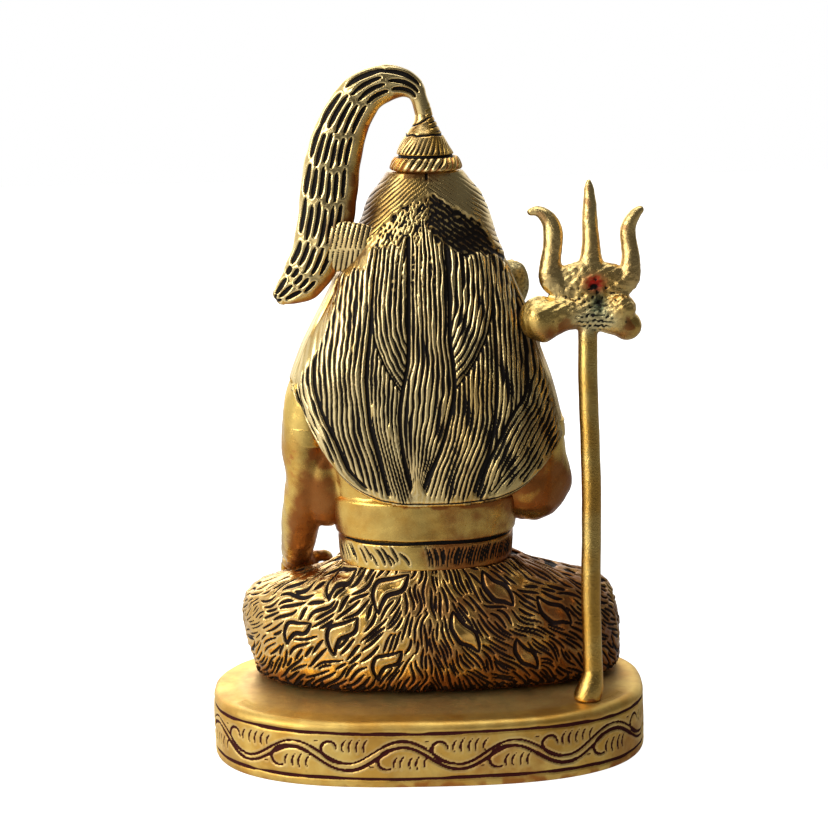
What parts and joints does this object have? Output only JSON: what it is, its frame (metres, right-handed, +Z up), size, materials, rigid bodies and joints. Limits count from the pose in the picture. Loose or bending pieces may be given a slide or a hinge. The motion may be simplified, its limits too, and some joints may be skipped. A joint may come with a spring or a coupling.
{
  "type": "shiva figure",
  "caption": "Cast brass seated deity figure on an oval plinth, with long combed hair, a water jet from the top-knot, a tiger skin and a trident with a drum at its side.",
  "frame": {"origin": "middle of the plinth's flat underside", "axes": "+Z up, -Y the way the figure faces, +X towards the figure's left hand"},
  "size_m": [0.1354, 0.09, 0.2119],
  "materials": {
    "plinth_brass": "polished, with maroon lacquer in the engraved lines",
    "figure_brass": "polished high spots over a dark brown antique patina in the grooves",
    "trident_brass": "hammered and polished, with red and green residue at the braze"
  },
  "bodies": {
    "root": {"plinth": "plinth_brass", "seated_figure": "figure_brass", "trident": "trident_brass"}
  },
  "joints": []
}
